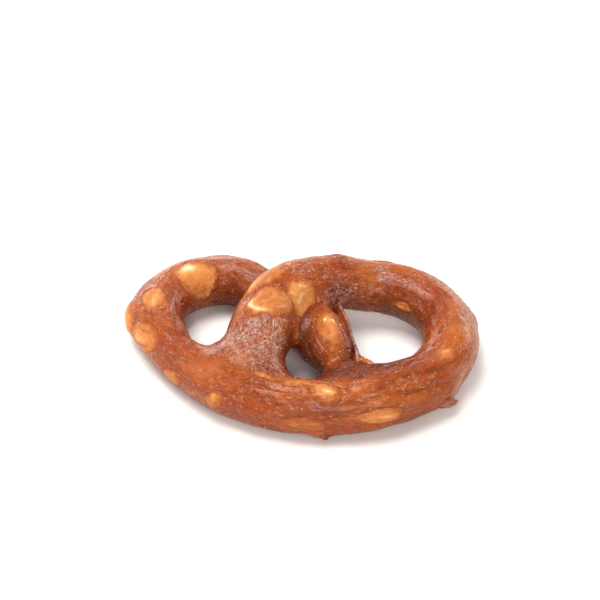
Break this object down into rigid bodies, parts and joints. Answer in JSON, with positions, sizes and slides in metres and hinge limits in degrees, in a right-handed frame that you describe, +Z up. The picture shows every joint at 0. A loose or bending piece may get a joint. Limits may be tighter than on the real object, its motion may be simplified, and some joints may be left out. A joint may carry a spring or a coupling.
{
  "type": "dried meat pretzel chew",
  "caption": "Rope of dried meat tied into a small pretzel, with crossed arms and pale flakes pressed into its glossy skin.",
  "frame": {"origin": "middle of the outline seen from above, on the plane the underside rests on", "axes": "+X across the two lobes, +Y from the wide front bend to the lobes' backs, +Z up"},
  "size_m": [0.0794, 0.054, 0.0193],
  "materials": {
    "dried_meat": "satin-glossy reddish brown skin with a dry pale bloom in the folds",
    "flake": "pale golden, satin, under a thin film of the meat"
  },
  "bodies": {
    "root": {"pretzel_rope": "dried_meat", "flake_left_disc": "flake", "flake_left_round": "flake", "flake_left_side": "flake", "flake_left_edge": "flake", "flake_left_front": "flake", "flake_crossing_oval": "flake", "flake_crossing_long": "flake", "flake_crossing_streaked": "flake", "flake_front_sliver": "flake", "flake_front_bright": "flake", "flake_front_right": "flake", "flake_front_low": "flake", "flake_front_left": "flake", "flake_foot_sliver": "flake", "flake_right_front": "flake", "flake_right_inner": "flake", "flake_under_arm": "flake", "flake_back_right_high": "flake", "flake_back_right_low": "flake", "flake_right_edge": "flake", "flake_back_left_wide": "flake", "flake_back_left_small": "flake", "flake_back_crossing": "flake", "flake_inner_front": "flake", "flake_inner_left": "flake"}
  },
  "joints": []
}
